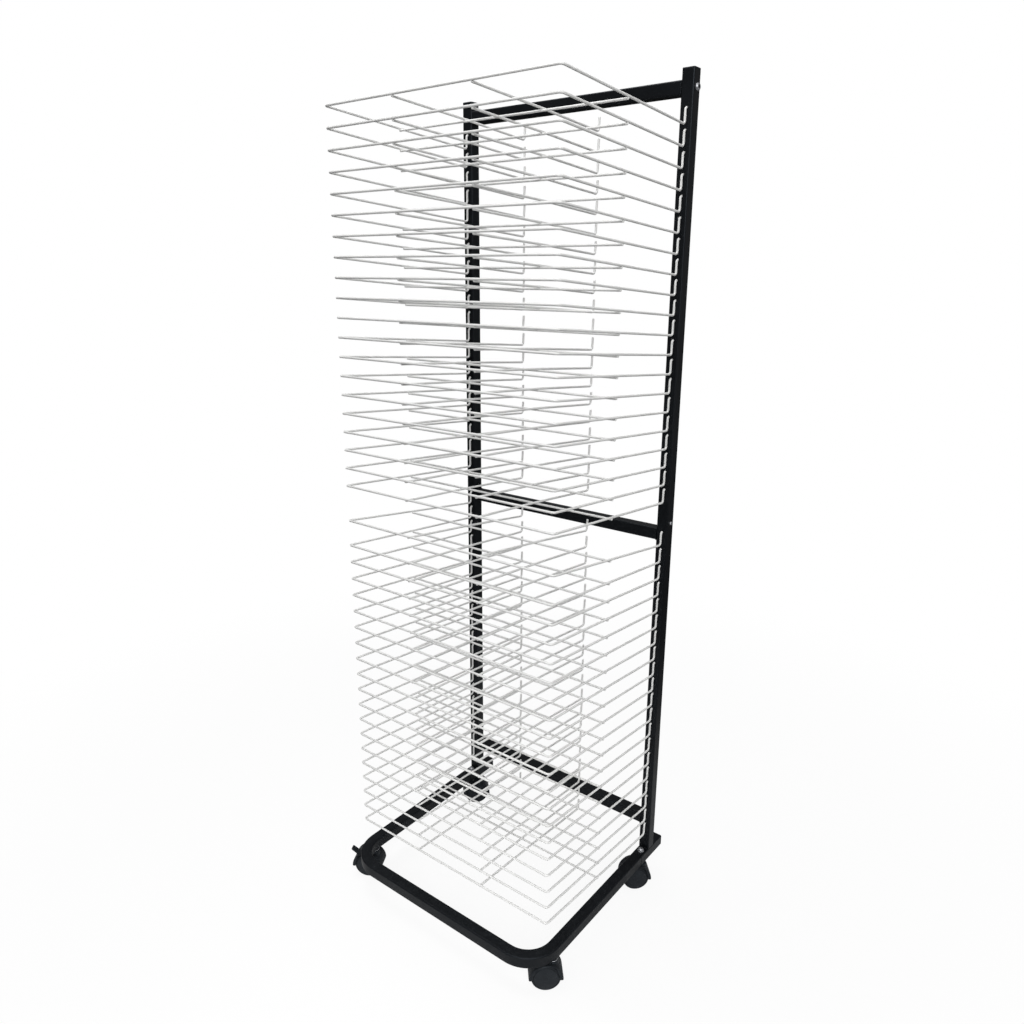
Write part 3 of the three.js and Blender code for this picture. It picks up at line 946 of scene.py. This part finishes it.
def addPedal():
    size, caster = brakePedal, casterSize
    pivot = caster["hoodRadius"] - caster["hoodWall"] / 2
    half, thick = size["width"] / 2, size["thick"] / 2
    shape = Shape()
    addTread(shape, half, thick)
    barrel = disc(size["barrel"], -half, half, bevel=0.3)
    shape.lathe(barrel, steps=24, place=Matrix.Rotation(math.pi / 2, 4, "X"))
    addShoe(shape, half, thick, caster["wheelRadius"] + size["shoeGap"] - pivot)
    middle, turn = rollPlace(joints["front_left_roll"])
    onHood = Matrix.Rotation(-math.radians(size["around"]), 4, "Y") @ Matrix.Translation((pivot * mm, 0, 0))
    data = shape.mesh("brake_tread", hoodGrey)
    data.transform(middle @ turn @ onHood)
    addPiece("brake_tread", data, "front_left_brake", ["front_left_brake_pedal"])


addTrays()
print("trays: 40")
for label, side in (("left", -1), ("right", 1)):
    addUpright(label, side)
    addNut(label, joints[f"rear_{label}_swivel"])
    addBolt(label, "top", side)
    addBolt(label, "middle", side)
for label in ("top", "middle", "bottom"):
    addCrossbar(label, welded=label != "top")
addBase()
print("frame dressed")
addCasters()
addPedal()
print("casters: 4")

photoView = {
    "place": (0.91412, -1.15521, 1.26214),
    "turn": 37.98,  # degrees to the left of straight ahead
    "dip": 16.44,
    "roll": 0.182,
    "lens": 28.593,
    "sensor": 36,
}


def addCamera():
    turn, dip, roll = (math.radians(photoView[key]) for key in ("turn", "dip", "roll"))
    ahead = Vector((-math.sin(turn) * math.cos(dip), math.cos(turn) * math.cos(dip), -math.sin(dip)))
    right = Vector((math.cos(turn), math.sin(turn), 0))
    top = right.cross(ahead)
    across = right * math.cos(roll) + top * math.sin(roll)
    upward = top * math.cos(roll) - right * math.sin(roll)
    data = bpy.data.cameras.new("photo_view")
    data.sensor_width, data.lens, data.sensor_fit = photoView["sensor"], photoView["lens"], "HORIZONTAL"
    camera = bpy.data.objects.new("photo_view", data)
    bpy.context.scene.collection.objects.link(camera)
    facing = Matrix((across, upward, -ahead)).transposed().to_4x4()
    camera.matrix_world = Matrix.Translation(photoView["place"]) @ facing
    bpy.context.scene.camera = camera


studio = {
    "world": 0.22,  # strength of the light all round
    "key": {"place": (1.9, -2.1, 2.4), "size": 2.0, "power": 70},
    "fill": {"place": (2.5, 1.5, 0.7), "size": 1.6, "power": 7},
    "top": {"place": (-0.5, -0.2, 3.6), "size": 2.0, "power": 56},
    "aim": (0, 0, 0.8),
    "spot": {"place": (0.5, -1.3, 1.0), "radius": 0.3, "cone": 46, "power": 21.5},
    "spotAim": (0, -0.05, 0.08),
    "white": (1, 1, 1, 1),
    "floor": (0.95, 0.95, 0.95, 1),
    "floorHalf": 30,
    "shadowShare": 0.10,  # of the floor's look, the rest is plain white
    "shadowFade": (0.6, 1.9),  # distances from the middle
    "bounceNear": (0.75, 0.75, 0.75, 1),  # the floor as the object sees it
    "bounceFar": (0.06, 0.06, 0.06, 1),
    "bounceFade": (0.5, 1.3),
}


def addLamp(name, kind, aim):
    lamp = studio[name]
    data = bpy.data.lights.new(name, kind)
    data.energy = lamp["power"]
    light = bpy.data.objects.new(name, data)
    bpy.context.scene.collection.objects.link(light)
    turn = (Vector(lamp["place"]) - Vector(aim)).to_track_quat("Z", "Y")
    light.matrix_world = Matrix.Translation(lamp["place"]) @ turn.to_matrix().to_4x4()
    return data


def addLights():
    for name in ("key", "fill", "top"):
        panel = addLamp(name, "AREA", studio["aim"])
        panel.shape, panel.size = "DISK", studio[name]["size"]
    spot = addLamp("spot", "SPOT", studio["spotAim"])  # lights the lowest trays
    spot.shadow_soft_size, spot.spot_size = studio["spot"]["radius"], math.radians(studio["spot"]["cone"])
    spot.spot_blend = 1.0
    world = bpy.data.worlds.new("studio")
    world.use_nodes = True
    bpy.context.scene.world = world
    sky = Nodes(world.node_tree)
    seen = sky.add("ShaderNodeLightPath", out="Is Camera Ray")
    background = world.node_tree.nodes["Background"]
    sky.put(background.inputs["Color"], studio["white"])
    sky.put(background.inputs["Strength"], seen * (1 - studio["world"]) + studio["world"])


def addFloor():
    shape, half = Shape(), studio["floorHalf"]
    corners = ((-half, -half), (half, -half), (half, half), (-half, half))
    shape.points = [Vector((x, y, 0)) / mm for x, y in corners]
    shape.faces = [(0, 1, 2, 3)]
    matt = {"Base Color": studio["floor"], "Roughness": 0.9, "Specular IOR Level": 0.0}
    finish = Finish("pale_floor", matt)
    where = finish.add("ShaderNodeTexCoord", out="Object")
    away = finish.add("ShaderNodeVectorMath", {"operation": "LENGTH"}, {0: where}, out="Value")
    share = 1 - studio["shadowShare"] * (1 - away.step(*studio["shadowFade"]))
    glow = finish.add("ShaderNodeEmission", {}, {"Color": studio["white"], "Strength": 1.0})
    lit = Signal(finish, finish.shader.outputs[0])
    seenFloor = finish.add("ShaderNodeMixShader", {}, {0: share, 1: lit, 2: glow})
    near = finish.add("ShaderNodeBsdfDiffuse", {}, {"Color": studio["bounceNear"]})
    far = finish.add("ShaderNodeBsdfDiffuse", {}, {"Color": studio["bounceFar"]})
    bounce = finish.add("ShaderNodeMixShader", {}, {0: away.step(*studio["bounceFade"]), 1: near, 2: far})
    seen = finish.add("ShaderNodeLightPath", out="Is Camera Ray")
    mixed = finish.add("ShaderNodeMixShader", {}, {0: seen, 1: bounce, 2: seenFloor})
    finish.put(finish.tree.nodes["Material Output"].inputs["Surface"], mixed)
    floor = bpy.data.objects.new("floor", shape.mesh("floor", finish.material))
    bpy.context.scene.collection.objects.link(floor)


addCamera()
addLights()
addFloor()
bpy.context.scene.view_settings.view_transform = "Standard"
print("studio set")
